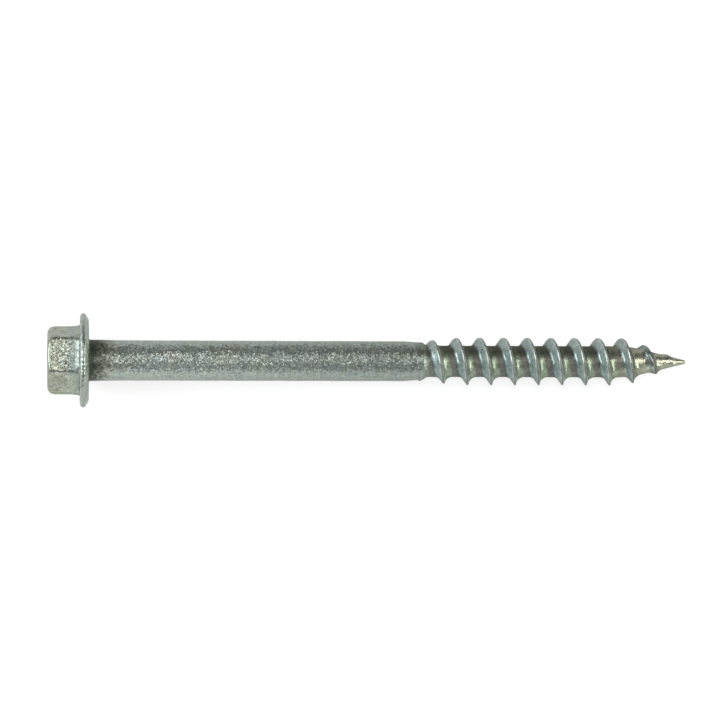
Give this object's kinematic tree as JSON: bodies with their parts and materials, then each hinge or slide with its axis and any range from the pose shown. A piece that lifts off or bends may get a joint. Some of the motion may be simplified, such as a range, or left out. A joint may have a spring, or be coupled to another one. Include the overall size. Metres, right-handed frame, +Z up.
{
  "type": "structural connector screw",
  "caption": "Galvanised screw with a hexagon washer head, a plain shank and a coarse wood thread that ends in a gimlet point; fixes metal connectors to timber.",
  "frame": {"origin": "on the floor, under the middle of the lying screw's box", "axes": "+X runs from the head towards the point, +Z is up from the floor; the screw's own axis lies in the plane y = 0 and slopes 2.45 degrees down towards the point, because it lies on the flange's rim and on one crest of the thread"},
  "size_m": [0.0678, 0.0098, 0.0099],
  "materials": {
    "galvanised_steel": "mechanically galvanised, satin and finely speckled pale grey zinc"
  },
  "bodies": {
    "root": {"connector_screw": "galvanised_steel"}
  },
  "joints": []
}
